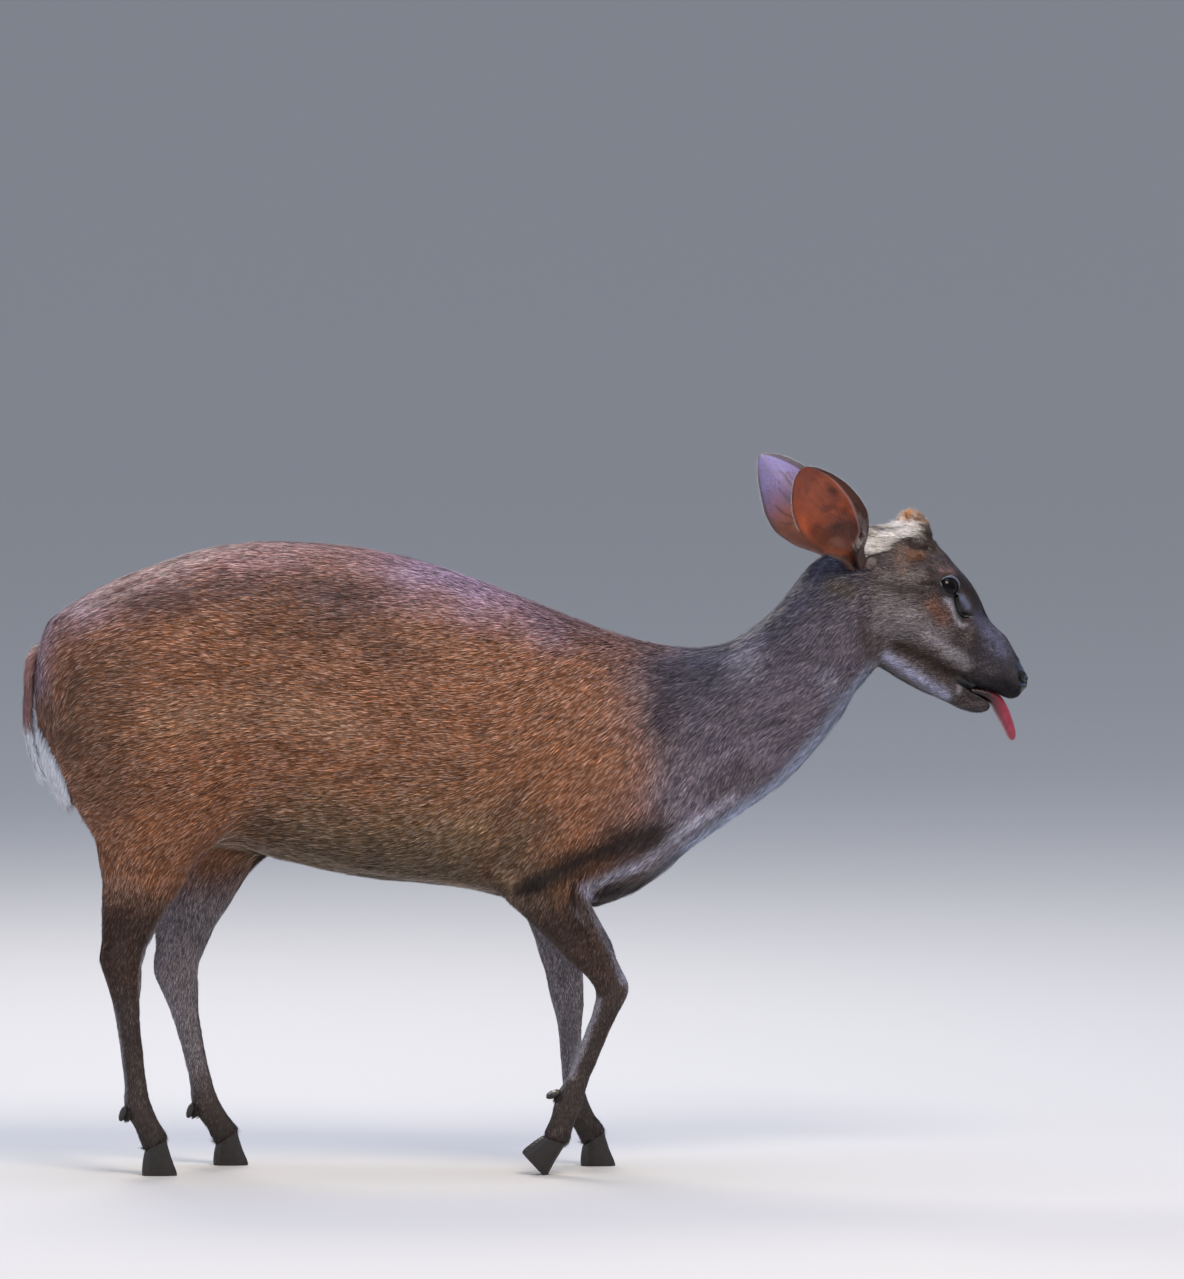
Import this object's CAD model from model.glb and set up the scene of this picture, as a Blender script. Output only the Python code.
"""The looks of a muntjac doe in mid step: skin, coat, ears, eyes, nose, tongue, tail and hooves."""

import itertools
import math

import bmesh
import bpy
import numpy as np
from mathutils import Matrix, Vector


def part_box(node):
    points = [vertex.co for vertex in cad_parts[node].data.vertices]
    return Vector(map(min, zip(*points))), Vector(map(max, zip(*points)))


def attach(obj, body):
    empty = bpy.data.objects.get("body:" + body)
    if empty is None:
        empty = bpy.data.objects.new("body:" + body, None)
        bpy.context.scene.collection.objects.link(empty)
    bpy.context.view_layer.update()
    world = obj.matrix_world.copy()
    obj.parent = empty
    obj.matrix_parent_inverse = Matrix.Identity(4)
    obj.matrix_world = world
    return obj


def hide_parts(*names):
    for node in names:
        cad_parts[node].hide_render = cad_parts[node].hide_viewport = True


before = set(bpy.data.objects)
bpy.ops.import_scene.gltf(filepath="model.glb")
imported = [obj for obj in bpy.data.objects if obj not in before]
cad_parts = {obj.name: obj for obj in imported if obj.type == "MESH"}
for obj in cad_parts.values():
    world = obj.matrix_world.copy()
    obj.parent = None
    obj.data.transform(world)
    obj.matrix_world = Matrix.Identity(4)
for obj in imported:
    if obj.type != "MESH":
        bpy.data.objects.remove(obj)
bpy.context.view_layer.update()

# The doe's stance. The solids were drawn on a straight animal, and her neck was then bent so
# that the head looks a little away, so every place below is told on the straight animal, in
# millimetres from the rump and the ground, and carried over with the same bend.
SIDES = {"right": -1, "left": 1}
HEAD_TURN = math.radians(15.0)
TURN_FROM_X, TURN_TO_X, TURN_DROP = 660.0, 840.0, 0.087
EYE_MIDDLE = np.array([914.5, -28.0, 588.0])


def turn_at(x):
    """How far the neck is turned at each x, and how far it has gone aside by there."""
    span = TURN_TO_X - TURN_FROM_X
    angle = HEAD_TURN * np.clip((x - TURN_FROM_X) / span, 0, 1)
    aside = -np.log(np.cos(angle)) * span / HEAD_TURN
    return angle, aside + np.maximum(x - TURN_TO_X, 0) * math.tan(HEAD_TURN)


def bent(p):
    """Places on the straight animal, carried to the animal whose head is turned."""
    p = np.asarray(p, float)
    angle, aside = turn_at(p[:, 0])
    x = p[:, 0] - p[:, 1] * np.sin(angle)
    y = aside + p[:, 1] * np.cos(angle)
    return np.column_stack([x, y, p[:, 2] - TURN_DROP * aside])


eye_low, eye_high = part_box("eye_right")
RUMP_AT = np.array((eye_low + eye_high) / 2) * 1000 - bent(EYE_MIDDLE[None])[0]


def placed(p):
    """Straight places in millimetres as places in the frame, in metres."""
    return (bent(np.atleast_2d(p)) + RUMP_AT) / 1000


def straight(co):
    """Places in the frame, in metres, as straight places in millimetres."""
    q = np.asarray(co, float) * 1000 - RUMP_AT
    x = q[:, 0]
    for _ in range(6):
        angle, aside = turn_at(x)
        y = (q[:, 1] - aside) / np.cos(angle)
        x = q[:, 0] + y * np.sin(angle)
    return np.column_stack([x, y, q[:, 2] + TURN_DROP * aside])


# The skin. It is one hide over the whole animal apart from ears, tail and hooves, drawn from
# the solids by a voxel remesh, sunk by the depth of the coat that will lie on it, and then
# modelled finely about the eyes, nose and lips, where the coat is too short to hide it.
LEG_PARTS = ("foreleg", "hindleg", "fore_cannon", "hind_cannon")
FLESH = ["head", "neck", "torso", "hindquarters"]
FLESH += [f"{part}_{side}" for part in LEG_PARTS for side in ("left", "right")]
SKIN_VOXEL, SKIN_TRIANGLES = 0.0017, 118000
OVERLAP = 0.0004
BODY_COAT = 2.4
LEG_TOP, LEGS_END, NECK_START, HEAD_START = 285, 660, 625, 842
KEEP_BULK = -0.52
SEEN_FROM_ABOVE = 0.07
HASH_PRIMES = np.array([73856093, 19349663, 83492791])


def ramp(value, start, end):
    """0 up to start, 1 from end on, and a smooth rise between them."""
    t = np.clip((value - start) / (end - start), 0, 1)
    return t * t * (3 - 2 * t)


def one_side(p):
    """Places with those of one side carried over to the other, since the sides are alike."""
    return np.column_stack([p[:, 0], np.abs(p[:, 1]), p[:, 2]])


def spot(p, centre, radii):
    """1 at a place, and a smooth fall to 0 at about its radii. The sides are alike."""
    off = (one_side(p) - np.asarray(centre, float)) / np.asarray(radii, float)
    return np.exp(-1.6 * (off**2).sum(1))


def off_line(q, points):
    """The square of how far each place is from a line through points."""
    points = np.asarray(points, float)
    best = np.full(len(q), 1e9)
    for a, b in zip(points, points[1:]):
        t = np.clip(((q - a) @ (b - a)) / max((b - a) @ (b - a), 1e-9), 0, 1)
        best = np.minimum(best, ((q - a - t[:, None] * (b - a)) ** 2).sum(1))
    return best


def stroke(p, points, radius):
    """1 along a line of places, and a smooth fall to 0 at about the radius. The sides are alike."""
    return np.exp(-1.6 * off_line(np.abs(p), points) / radius**2)


def side_view(p):
    """Where places are seen from the side, with the head turned: two numbers in millimetres."""
    aside = np.abs(p[:, 1])
    shift = aside * math.sin(HEAD_TURN) * ramp(p[:, 0], TURN_FROM_X, TURN_TO_X)
    return np.column_stack([p[:, 0] + shift, p[:, 2] - SEEN_FROM_ABOVE * aside])


def noise(p, size, seed):
    """Smooth chance from -1 to 1 that changes over about that many millimetres."""
    q = p / size + seed * 7.31
    cell = np.floor(q).astype(np.int64)
    t = q - cell
    t = t * t * (3 - 2 * t)
    total = np.zeros(len(q))
    for corner in itertools.product((0, 1), repeat=3):
        h = np.bitwise_xor.reduce((cell + corner) * HASH_PRIMES, axis=1)
        h = ((h + seed * 7919) ^ (h >> 13)) * 1274126177 & 0x7FFFFFFF
        value = ((h ^ (h >> 15)) & 0xFFFF) / 32767.5 - 1
        share = np.where(corner, t, 1 - t)
        total += share[:, 0] * share[:, 1] * share[:, 2] * value
    return total


def points_of(mesh, kind="co"):
    """A mesh's points as rows, or what else it holds three numbers of for each point."""
    values = np.empty(len(mesh.vertices) * 3, np.float32)
    mesh.vertices.foreach_get(kind, values)
    return values.reshape(-1, 3).astype(float)


def normals_of(mesh):
    """A mesh's normals at its points."""
    return points_of(mesh, "normal")


def put_points(mesh, co):
    """The mesh's points moved to these places."""
    mesh.vertices.foreach_set("co", np.ascontiguousarray(co, np.float32).ravel())
    mesh.update()


def pushed(mesh, rise):
    """Each point moved along its normal, by so many millimetres."""
    put_points(mesh, points_of(mesh) + normals_of(mesh) * rise[:, None] / 1000)


def in_scene(name, data):
    """A new object that holds the data, linked into the scene."""
    made = bpy.data.objects.new(name, data)
    bpy.context.scene.collection.objects.link(made)
    return made


def relaxed(mesh, weight, rounds, back=0.0):
    """Each point drawn to the middle of its neighbours, and pushed back where bulk is kept."""
    edges = np.empty(len(mesh.edges) * 2, np.int32)
    mesh.edges.foreach_get("vertices", edges)
    edges = edges.reshape(-1, 2)
    co = points_of(mesh)
    chosen = weight[edges].max(1) > 1e-3
    a, b = edges[chosen].T
    count = np.maximum(np.bincount(a, minlength=len(co)) + np.bincount(b, minlength=len(co)), 1)
    for _ in range(rounds):
        for pull in (0.5, back):
            if pull:
                for axis in range(3):
                    column = co[:, axis]
                    total = np.bincount(a, column[b], len(co)) + np.bincount(b, column[a], len(co))
                    moved = total / count - column
                    co[:, axis] = np.where(weight > 1e-3, column + pull * weight * moved, column)
    put_points(mesh, co)


def settled(thing):
    """The object with its modifiers made into its mesh."""
    graph = bpy.context.evaluated_depsgraph_get()
    made = bpy.data.meshes.new_from_object(thing.evaluated_get(graph))
    thing.modifiers.clear()
    old, thing.data = thing.data, made
    bpy.data.meshes.remove(old)


def grouped(thing, weight, levels=24):
    """A vertex group that holds a weight for each point."""
    group = thing.vertex_groups.new(name="share")
    level = np.round(np.clip(weight, 0, 1) * levels).astype(int)
    for k in np.unique(level):
        group.add(np.flatnonzero(level == k).tolist(), k / levels, "REPLACE")
    return group.name


whole = bmesh.new()
for name in FLESH:
    part = bmesh.new()
    part.from_mesh(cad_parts[name].data)
    bmesh.ops.remove_doubles(part, verts=part.verts, dist=0.00002)
    part.normal_update()
    moved = [v.co + v.normal * OVERLAP for v in part.verts]
    for v, at in zip(part.verts, moved):
        v.co = at
    grown = bpy.data.meshes.new("grown")
    part.to_mesh(grown)
    part.free()
    whole.from_mesh(grown)
    bpy.data.meshes.remove(grown)
skin = in_scene("skin", bpy.data.meshes.new("skin"))
whole.to_mesh(skin.data)
whole.free()
remesh = skin.modifiers.new("one_hide", "REMESH")
remesh.mode = "VOXEL"
remesh.voxel_size = SKIN_VOXEL
settled(skin)


def coat_depth(p):
    """How far the skin lies below the coat's outline, in millimetres."""
    depth = BODY_COAT - 1.2 * ramp(-p[:, 2], -300, -180) - 1.4 * ramp(p[:, 0], 838, 900)
    depth -= 0.4 * ramp(-p[:, 2], -80, -50)
    depth -= 0.6 * ramp(p[:, 0], 930, 985)
    depth += 6.0 * spot(p, (876, 13, 648), (34, 24, 14))
    depth += 3.0 * spot(p, (850, 24, 622), (13, 14, 16))
    return np.maximum(depth, 0.2)


place = straight(points_of(skin.data))
in_head = ramp(place[:, 0], 832, 862)
in_leg = ramp(-place[:, 2], -290, -215) * (1 - ramp(place[:, 0], 640, 700))
crown = spot(place, (874, 12, 646), (36, 30, 17)) + spot(place, (850, 24, 622), (15, 16, 17))
seat = spot(place, (18, 0, 455), (34, 34, 90))
broad = np.clip(1 - 0.96 * in_head - 0.80 * in_leg, 0, 1)
relaxed(skin.data, broad, 95)
relaxed(skin.data, np.maximum(np.minimum(crown, 1), 0.8 * seat), 60)
relaxed(skin.data, np.full(len(place), 0.9), 8, back=KEEP_BULK)
place = straight(points_of(skin.data))
pushed(skin.data, BODY_COAT * broad - coat_depth(place))
relaxed(skin.data, np.full(len(place), 0.8), 4, back=KEEP_BULK)
place = straight(points_of(skin.data))


def eased(p, start, end, spread, reach, below):
    """How far up each place goes, so that corners in the outline between two x turn to curves."""
    step = 3.0
    near = (p[:, 0] > start) & (p[:, 0] < end) & (np.abs(p[:, 1]) < 30)
    bins = ((p[near, 0] - start) / step).astype(int)
    edge = np.full(bins.max() + 1, np.nan)
    for k in np.unique(bins):
        heights = p[near, 2][bins == k]
        edge[k] = heights.min() if below else heights.max()
    at = start + step * (np.arange(len(edge)) + 0.5)
    edge = np.interp(at, at[~np.isnan(edge)], edge[~np.isnan(edge)])
    offsets = np.arange(-3 * spread, 3 * spread + step, step)
    share = np.exp(-0.5 * (offsets / spread) ** 2)
    curve = sum(s * np.interp(at + o, at, edge) for o, s in zip(offsets, share)) / share.sum()
    within = ramp(at, start, start + 2 * spread) * ramp(-at, -end, 2 * spread - end)
    x = p[:, 0]
    lift = np.interp(x, at, (curve - edge) * within)
    depth = np.abs(p[:, 2] - np.interp(x, at, edge))
    return lift * ramp(-depth, -reach, -0.25 * reach) * (x > start) * (x < end)


put = points_of(skin.data)
put[:, 2] += eased(place, 20, 800, 26, 90, False) / 1000
put[:, 2] += eased(place, 215, 480, 24, 60, True) / 1000
put[:, 2] += eased(place, 572, 835, 17, 60, True) / 1000
put_points(skin.data, put)
place = straight(put)
thin = skin.modifiers.new("thin", "DECIMATE")
coarse = 1 - 0.93 * ramp(place[:, 0], 838, 868) - 0.35 * ramp(-place[:, 2], -230, -180)
thin.vertex_group = grouped(skin, coarse)
thin.vertex_group_factor = 1.0
thin.ratio = SKIN_TRIANGLES / (2 * len(skin.data.polygons))
settled(skin)

fine = bmesh.new()
fine.from_mesh(skin.data)
place = straight([v.co for v in fine.verts])
wanted = np.maximum(spot(place, (918, 33, 582), (26, 22, 24)), ramp(place[:, 0], 966, 970)) > 0.35
edges = [e for e in fine.edges if wanted[e.verts[0].index] and wanted[e.verts[1].index]]
bmesh.ops.subdivide_edges(fine, edges=edges, cuts=1, use_grid_fill=True)
bmesh.ops.triangulate(fine, faces=[f for f in fine.faces if len(f.verts) > 4])
fine.to_mesh(skin.data)
fine.free()

# Hollows and swellings of the face, as place, radii and height. Minus is a hollow.
FACE_FORMS = [
    ((905, 30, 604), (15, 11, 5.5), 1.8),
    ((925, 33, 598), (8, 8, 5), 1.2),
    ((930, 31, 579), (6, 8, 7), -1.6),
    ((946, 21, 577), (16, 9, 13), -1.2),
    ((888, 40, 560), (20, 14, 9), 1.8),
    ((976, 4, 533), (22, 11, 17), 3.6),
    ((962, 17, 508), (16, 8, 8), 1.3),
    ((985, 15, 487), (12, 8, 6), 1.5),
    ((1002, 6, 491), (9, 9, 9), 2.4),
    ((1004, 5, 498), (7, 6, 5), 1.2),
    ((952, 17, 470), (14, 10, 7), 0.8),
]
GLAND = [(932.5, 578), (933.5, 571), (936, 562), (940, 557.5), (947, 557)]
NOSTRIL = [(1003, 490.5), (1000.5, 490), (998.5, 494), (998, 499)]
LIP_LINE = [(930, 22, 498), (942, 17.5, 491), (953, 14, 486)]


def face_form(p):
    """How far the face rises at straight places, in millimetres."""
    height = np.zeros(len(p))
    for centre, radii, rise in FACE_FORMS:
        height += rise * spot(p, centre, radii)
    seen, a = side_view(p), np.abs(p[:, 1])
    height -= 4.4 * stroke(seen, GLAND, 3.1) * ramp(a, 14, 20)
    height += 1.3 * stroke(seen, GLAND, 6.0) * ramp(a, 14, 20)
    height -= 5.0 * stroke(seen, NOSTRIL, 2.5) * ramp(a, 3, 7)
    height += 1.4 * stroke(p, [(1001, 13.0, 502), (994, 16.5, 501)], 3.2)
    height += 4.0 * spot(p, (583, 50, 245), (17, 24, 42))
    height -= 1.6 * stroke(p, LIP_LINE, 2.0)
    height -= 1.0 * stroke(p, [(1004, 0, 502), (1004, 0, 480)], 1.6)
    return height


place = straight(points_of(skin.data))
pushed(skin.data, face_form(place))
relaxed(skin.data, 0.5 * ramp(place[:, 0], 966, 972), 1)


def joined(thing, verts, faces):
    """More closed surface in the same object's mesh."""
    mesh = bmesh.new()
    mesh.from_mesh(thing.data)
    added = [mesh.verts.new(v) for v in verts]
    for face in faces:
        mesh.faces.new([added[k] for k in face])
    mesh.to_mesh(thing.data)
    mesh.free()


# The eyelids. They are bare black rims of the same hide, drawn as rings that roll on to the
# eyeball and run out under the hair. The hide inside the eye's opening first sinks behind the
# ball, and the lids then join the skin's mesh.
EYE_RADIUS, BEHIND_BALL = 12.2, 10.7
EYE_AIM = np.array([0.30, -0.95, 0.10])
LID_HALF_LONG, LID_HALF_TALL, LID_TILT = 12.2, 8.4, math.radians(-30)
LID_STEPS = 56
# Round a lid's section: how far out, as a share of the opening, and how high above the ball.
LID_PROFILE = [(0.985, 0.1), (0.99, 0.8), (1.05, 1.4), (1.20, 1.8)]
LID_PROFILE += [(1.5, 1.7), (1.9, 1.3), (2.4, 0.6), (1.5, -0.9)]


def eye_axes(side):
    """The eye's middle, its aim, and the ways along and across its lids, on the straight animal."""
    mirror = np.array([1, -side, 1])
    aim = EYE_AIM / np.linalg.norm(EYE_AIM)
    along = np.array([math.cos(LID_TILT), 0, math.sin(LID_TILT)])
    along -= aim * (along @ aim)
    along /= np.linalg.norm(along)
    across = np.cross(aim, along)
    across *= np.sign(across[2])
    return EYE_MIDDLE * mirror, aim * mirror, along * mirror, across * mirror


def on_ball(axes, flat, swing):
    """The way from an eye's middle that swings off its aim towards a flat direction."""
    _, aim, along, across = axes
    aside = (along * flat[0] + across * flat[1]) / np.linalg.norm(flat)
    return aim * math.cos(swing) + aside * math.sin(swing)


def almond(turn):
    """The lids' opening: pointed at the front corner, fuller above than below."""
    u, v = math.cos(turn), math.sin(turn)
    tall = LID_HALF_TALL * (1.0 if v > 0 else 0.86) * (1 - 0.42 * abs(u) ** 3)
    return LID_HALF_LONG * (1.06 if u > 0 else 0.98) * u, tall * v


place = straight(points_of(skin.data))
for side in (-1, 1):
    middle, aim, along, across = eye_axes(side)
    off = place - middle
    far = np.linalg.norm(off, axis=1)
    in_eye = np.hypot(off @ along / (LID_HALF_LONG + 1), off @ across / (LID_HALF_TALL + 1)) < 1
    in_eye &= (off @ aim > 0) & (far > BEHIND_BALL) & (far < EYE_RADIUS + 8)
    place[in_eye] = middle + off[in_eye] * (BEHIND_BALL / far[in_eye])[:, None]
put_points(skin.data, placed(place))

for side in (-1, 1):
    axes = eye_axes(side)
    verts, faces = [], []
    for k in range(LID_STEPS):
        turn = 2 * math.pi * k / LID_STEPS
        for wide, rise in LID_PROFILE:
            heavy = 1 + 0.30 * max(math.sin(turn), 0) * (rise > 1)
            flat = np.array(almond(turn)) * wide
            swing = min(np.linalg.norm(flat) / EYE_RADIUS, 1.25)
            verts.append(axes[0] + on_ball(axes, flat, swing) * (EYE_RADIUS + rise * heavy))
    count = len(LID_PROFILE)
    for k in range(LID_STEPS):
        row, next_row = k * count, ((k + 1) % LID_STEPS) * count
        for j in range(count):
            m = (j + 1) % count
            face = (row + j, row + m, next_row + m, next_row + j)
            faces.append(face if side < 0 else (face[0], *face[:0:-1]))
    joined(skin, placed(np.array(verts)).tolist(), faces)
lid_points = 2 * LID_STEPS * len(LID_PROFILE)

skin.data.shade_smooth()


# The hide's colours. Skin and coat carry the same marks, as pigment in the hair: red on the
# body, grey brown on neck and face, pale where hair is thin or white, and black bare skin.
def linear(hex_colour):
    """An sRGB hex colour as linear red, green and blue."""
    parts = np.array([int(hex_colour[k : k + 2], 16) for k in (1, 3, 5)]) / 255
    return np.where(parts <= 0.04045, parts / 12.92, ((parts + 0.055) / 1.055) ** 2.4)


RUST = "#845232"
LILAC = "#99829f"
TAN = "#7c6547"
CHESTNUT = "#66402e"
UMBER = "#36261f"
NECK_BROWN = "#646072"
SLATE = "#302f40"
THROAT = "#a8b2cc"
BELLY = "#8a7660"
PALE = "#9893a0"
SHANK = "#3f3531"
FETLOCK = "#2c2320"
FACE = "#504241"
BROW = "#30252a"
MUZZLE = "#37333a"
CREAM = "#dcd4c8"
GINGER = "#ab6f3c"
BLACK_SKIN = "#0d0b0b"


def painted(colour, mask, hex_colour):
    """The colours, turned to another one where the mask is 1."""
    return colour + (linear(hex_colour) - colour) * np.clip(mask, 0, 1)[:, None]


# The face's marks, as seen from the side: places along each, radius, strength and colour.
FACE_MARKS = [
    ([(869, 569), (891, 554), (914, 538)], 15, 0.55, "#9a9197"),
    ([(856, 554), (881, 538)], 12, 0.45, "#8c8790"),
    ([(868, 597), (901, 595)], 9, 0.45, "#857874"),
    ([(871, 584), (900, 581)], 4, 0.6, "#46342c"),
    ([(911, 568), (921, 554)], 9.5, 0.85, "#7d4b33"),
    ([(907, 612), (910, 590)], 4, 0.55, "#43332f"),
    ([(919, 601), (929, 600)], 4.5, 0.7, "#8f6a6a"),
    ([(938, 592), (950, 576), (955, 560)], 7.5, 0.92, "#2c2322"),
    ([(902, 589), (916, 588)], 4, 0.85, "#2c201c"),
    ([(925, 584)], 13, 0.5, "#2a1f1e"),
    ([(923, 572), (927, 571)], 3.4, 0.8, "#8d90aa"),
    ([(938, 575), (944, 566)], 4.2, 0.9, "#7f88ad"),
    ([(925, 571), (929, 565), (932.5, 555), (938, 547), (943, 547)], 2.6, 0.9, "#b8b5c0"),
    ([(948, 542), (944, 532)], 6, 0.5, "#75665f"),
    ([(961, 524), (981, 507)], 13, 0.85, "#423e4c"),
    ([(956, 554), (966, 539), (980, 522)], 10, 0.62, "#777ea6"),
    ([(964, 532), (972, 526)], 3.5, 0.6, "#3a3644"),
    ([(951, 508), (971, 501)], 7, 0.6, "#5c525a"),
    ([(926, 520), (944, 508)], 7, 0.7, "#b5aeb6"),
    ([(972, 489), (984, 479)], 8, 0.8, "#2a2528"),
    ([(984, 488), (991, 480)], 9.5, 0.97, "#0b090b"),
    ([(950, 472), (968, 468)], 8, 0.5, "#3f3738"),
    ([(879, 527), (898, 520), (921, 506), (933, 499)], 8.5, 0.95, "#33261a"),
    ([(906, 537), (924, 526), (940, 516)], 5.5, 0.9, "#a09ca3"),
    ([(868, 516), (886, 503), (908, 488), (924, 477)], 7.5, 1, "#adb0cf"),
    ([(860, 508), (881, 492), (917, 471), (934, 464)], 2.4, 0.85, "#241b1e"),
    ([(937, 492), (938, 480)], 3.2, 0.8, "#aca7b0"),
    ([(943, 471), (961, 466)], 9, 0.9, "#584d4b"),
    ([(942, 497), (951, 486)], 3.5, 0.95, "#1b1416"),
    ([(942, 553), (948, 552)], 2.4, 0.6, "#5a3433"),
    ([(932, 578), (933.5, 571), (936, 562)], 4.4, 1, "#060505"),
    ([(936, 561), (940, 557.5), (947, 557)], 4.8, 1, "#060505"),
    ([(848, 642), (861, 634), (874, 639), (888, 642), (898, 639)], 8.5, 1, CREAM),
    ([(870, 652), (886, 657)], 8, 0.9, GINGER),
    ([(888, 651), (903, 650)], 8, 0.9, "#b39377"),
    ([(881, 624), (882, 606)], 8, 0.35, "#8f6c55"),
    ([(889, 631), (898, 629)], 5.5, 0.9, "#241812"),
    ([(888, 619), (896, 617)], 7, 0.45, "#7c5236"),
    ([(908, 626), (914, 619)], 5, 0.6, "#6f5f49"),
    ([(907, 657), (914, 642), (922, 622)], 4.5, 0.9, "#30231f"),
    ([(903, 638), (908, 634)], 4.5, 0.9, "#221813"),
]
# The body's marks in the same way, the last number being how far from the midline they start.
BODY_MARKS = [
    ([(516, 296), (560, 310), (602, 328), (636, 344)], 22, 0.70, "#271a13", 30),
    ([(500, 288), (530, 303), (566, 321), (602, 336), (630, 345)], 11, 0.80, "#150d09", 30),
    ([(562, 290), (586, 299), (626, 313), (668, 351), (711, 380)], 8.0, 0.90, "#a9a6b8", 20),
    ([(590, 283), (625, 290), (660, 318)], 13, 0.85, "#332b2b", 10),
    ([(500, 385), (478, 350)], 11, 0.55, "#2e1f16", 40),
    ([(488, 358), (468, 324), (468, 304)], 12, 0.50, "#8a5833", 40),
    ([(470, 300), (482, 288)], 9, 0.6, "#2b1c13", 40),
    ([(250, 545), (330, 552), (385, 520)], 30, 0.45, "#38261e", 30),
    ([(88, 500), (76, 450), (100, 400)], 50, 0.50, "#4a3624", 30),
    ([(150, 455), (260, 462), (330, 440)], 26, 0.45, "#a37b5c", 40),
    ([(566, 282), (576, 261), (587, 238), (595, 219), (601, 196)], 6.5, 0.95, "#a6abc8", 30),
    ([(574, 174), (562, 136), (548, 100)], 4.5, 0.75, "#a7a4b2", 36),
    ([(842, 552), (846, 522)], 5, 0.6, "#3a2b23", 10),
    ([(22, 548), (12, 500)], 20, 0.55, "#907d95", 0),
    ([(560, 560), (588, 522)], 26, 0.45, "#46343a", 20),
    ([(646, 516), (652, 486), (644, 456)], 28, 0.92, "#302b38", 20),
    ([(716, 540), (728, 512)], 22, 0.35, "#9a97ac", 20),
    ([(520, 352), (478, 318)], 26, 0.45, "#3c271a", 40),
    ([(596, 352), (640, 338)], 20, 0.55, "#2a1c16", 30),
    ([(700, 392), (724, 404)], 22, 0.6, "#4b4448", 0),
    ([(814, 590), (832, 582)], 10, 0.6, "#5a5138", 14),
    ([(52, 500), (60, 440)], 26, 0.40, "#2e2218", 30),
    ([(120, 568), (200, 580), (300, 583), (360, 574)], 24, 0.62, "#472b20", -20),
    ([(548, 312), (596, 330)], 15, 0.40, "#1d120c", 30),
    ([(806, 500), (818, 474)], 14, 0.40, "#8f94ac", 0),
]


def markings(p, n):
    """The coat's colour at straight places, with the way that the skin faces there."""
    x, y, z = p.T
    a = np.abs(y)
    seen = side_view(p)
    px = seen[:, 0] + 24
    inward = ramp(-n[:, 1] * np.sign(y), 0.15, 0.7)
    wobble = noise(p, 38, 3)
    colour = np.tile(linear(RUST), (len(p), 1))
    top = ramp(n[:, 2] + 0.18 * wobble, 0.30, 0.90) * ramp(-x, -640, -520)
    along = 0.22 + 0.55 * ramp(-x, -120, -40) + 0.60 * ramp(x, 330, 430) * ramp(-x, -560, -450)
    colour = painted(colour, along * top, LILAC)
    low = ramp(-z + 14 * wobble, -430, -320) * ramp(x, 190, 290) * ramp(-x, -560, -470)
    colour = painted(colour, 0.85 * low, TAN)
    colour = painted(colour, 0.5 * ramp(-x + 12 * wobble, -150, -40) * ramp(z, 330, 420), CHESTNUT)
    colour = painted(colour, 0.9 * ramp(x + 26 * wobble, 560, 690), NECK_BROWN)
    nape = ramp(x + 20 * wobble, 600, 700) * ramp(n[:, 2], -0.2, 0.5)
    colour = painted(colour, 0.85 * nape, SLATE)
    front = ramp(n[:, 0] - 0.9 * n[:, 2] - a * 0.014, 0.38, 0.95)
    colour = painted(colour, front * ramp(x, 600, 660) * ramp(-x, -905, -860), THROAT)
    under = ramp(-n[:, 2], 0.72, 0.97) * ramp(x, 90, 160) * ramp(-x, -560, -500) * ramp(z, 215, 260)
    colour = painted(colour, 0.85 * under, BELLY)
    belly_side = ramp(x, 190, 260) * ramp(-x, -560, -500) * ramp(z, 250, 290)
    shaded = ramp(-n[:, 2], 0.2, 0.7) * (1 - under) * belly_side
    colour = painted(colour, 0.55 * shaded, "#352619")
    colour = painted(colour, 0.6 * top * ramp(x, 470, 560), "#4a3f50")
    limb = ramp(-z + 0.25 * (x - 520) * ramp(x, 400, 450), -318, -255) * ramp(-x, -650, -620)
    colour = painted(colour, 0.9 * limb, UMBER)
    colour = painted(colour, 0.75 * ramp(-z, -205, -165), SHANK)
    colour = painted(colour, 0.42 * limb * inward * ramp(z, 60, 120), PALE)
    shin = ramp(n[:, 0], 0.55, 0.95) * ramp(-z, -290, -260) * ramp(z, 170, 200) * (x < LEGS_END)
    colour = painted(colour, 0.6 * shin, PALE)
    calf = ramp(-n[:, 0], 0.45, 0.9) * ramp(-z, -185, -160) * ramp(z, 60, 90) * (x < LEGS_END)
    colour = painted(colour, 0.6 * calf, PALE)
    for places, radius, strength, hex_colour, start in BODY_MARKS:
        mask = strength * stroke(seen, places, radius) * ramp(a, start - 10, start + 10)
        colour = painted(colour, mask * (1 + 0.25 * wobble), hex_colour)
    colour = painted(colour, 0.8 * ramp(-z, -62, -36), FETLOCK)
    face = ramp(px + 8 * wobble, 850, 885)
    colour = painted(colour, 0.9 * face, FACE)
    colour = painted(colour, 0.9 * ramp(x, 915, 935) * ramp(n[:, 2], 0.15, 0.6), BROW)
    colour = painted(colour, 0.9 * ramp(px - 0.35 * (z - 500) + 5 * wobble, 950, 982), MUZZLE)
    sheen = ramp(px, 950, 970) * ramp(n[:, 2], 0.25, 0.7) * ramp(-px, -1015, -1000)
    colour = painted(colour, 0.75 * sheen, "#5d5c72")
    for places, radius, strength, hex_colour in FACE_MARKS:
        places = places if len(places) > 1 else places * 2
        colour = painted(colour, strength * stroke(seen, places, radius) * (x > 820), hex_colour)
    return colour


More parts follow.
